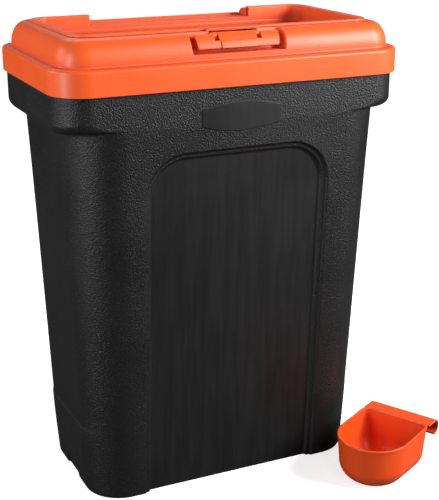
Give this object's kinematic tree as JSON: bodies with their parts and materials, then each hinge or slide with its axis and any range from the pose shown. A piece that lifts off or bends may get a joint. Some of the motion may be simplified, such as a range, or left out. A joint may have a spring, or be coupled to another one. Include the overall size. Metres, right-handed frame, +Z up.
{
  "type": "pet food bin",
  "caption": "Tall tapered dry-food bin with a press-fit lid frame, a hinged tray-shaped flap, a front latch and a loose hooked scoop.",
  "frame": {"origin": "on the floor under the middle of the tub, on the flat boss of the underside", "axes": "+Z up, +X along the bin's width to its right, -Y towards the front panel and latch"},
  "size_m": [0.4381, 0.3257, 0.5226],
  "materials": {
    "tub_plastic": "moulded black polypropylene with a fine leather-like grain",
    "lid_plastic": "smooth orange polypropylene, satin gloss",
    "seal_rubber": "soft dark foam rubber",
    "pin_steel": "plain drawn steel wire"
  },
  "bodies": {
    "tub": {"bin_body": "tub_plastic"},
    "frame": {"lid_frame": "lid_plastic", "hinge_pin_left": "pin_steel", "hinge_pin_right": "pin_steel"},
    "flap": {"lid_flap": "lid_plastic", "flap_seal": "seal_rubber", "latch_pin": "pin_steel"},
    "latch": {"lid_latch": "lid_plastic"},
    "scoop": {"scoop": "lid_plastic"}
  },
  "joints": [
    {"name": "lid_lift", "type": "slide", "parent": "tub", "child": "frame", "axis": [0, 0, 1], "range_m": [0, 0.08]},
    {"name": "flap_hinge", "type": "hinge", "parent": "frame", "child": "flap", "pos_m": [0, 0.101, 0.5095], "axis": [-1, 0, 0], "range_deg": [0, 105]},
    {"name": "latch_pivot", "type": "hinge", "parent": "flap", "child": "latch", "pos_m": [0, -0.0945, 0.5163], "axis": [-1, 0, 0], "range_deg": [0, 60]},
    {"name": "scoop_lift", "type": "slide", "parent": "tub", "child": "scoop", "axis": [0, 0, 1], "range_m": [0, 0.15]}
  ]
}
